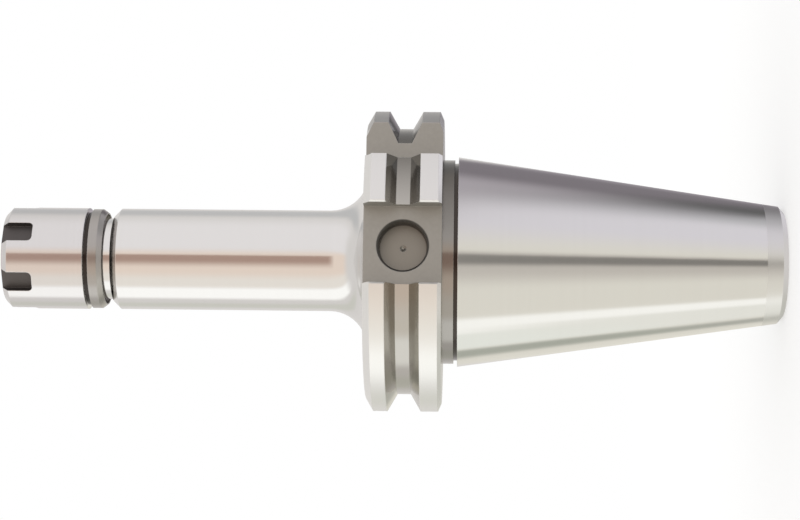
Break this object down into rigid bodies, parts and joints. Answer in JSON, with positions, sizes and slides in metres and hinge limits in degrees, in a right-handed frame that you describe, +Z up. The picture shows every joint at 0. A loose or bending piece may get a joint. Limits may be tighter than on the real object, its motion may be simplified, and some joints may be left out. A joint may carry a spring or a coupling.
{
  "type": "collet chuck holder",
  "caption": "Steep-taper shank with a grooved gripper flange and a long slim neck that clamps a slotted spring collet under a slotted nut.",
  "frame": {"origin": "centre of the small end of the taper, the face that the part stands on", "axes": "+Z up the tool axis from the small end to the nose; -Y faces the drive slot that has the round chip pocket; +X is the side of the orientation notch"},
  "size_m": [0.0636, 0.0612, 0.1642],
  "materials": {
    "holder_steel": "hardened, ground bright on the taper, lands and neck, milled matt in the slots and groove",
    "nut_steel": "ground and polished",
    "collet_steel": "ground spring steel",
    "screw_steel": "black oxide"
  },
  "bodies": {
    "holder": {"holder_body": "holder_steel"},
    "collet": {"collet": "collet_steel"},
    "nut": {"clamping_nut": "nut_steel"},
    "stop_screw": {"stop_screw": "screw_steel"}
  },
  "joints": [
    {"name": "collet_draw", "type": "slide", "parent": "holder", "child": "collet", "axis": [0, 0, 1], "range_m": [0, 0.008]},
    {"name": "nut_turn", "type": "hinge", "parent": "collet", "child": "nut", "pos_m": [0, 0, 0.1536], "axis": [0, 0, 1], "range_deg": [0, 2880]},
    {"name": "screw_set", "type": "slide", "parent": "holder", "child": "stop_screw", "axis": [0, 0, 1], "range_m": [-0.013, 0.007]}
  ],
  "couplings": [
    {"joint": "nut_turn", "follows": "collet_draw", "rad_per_m": 6283.2}
  ]
}
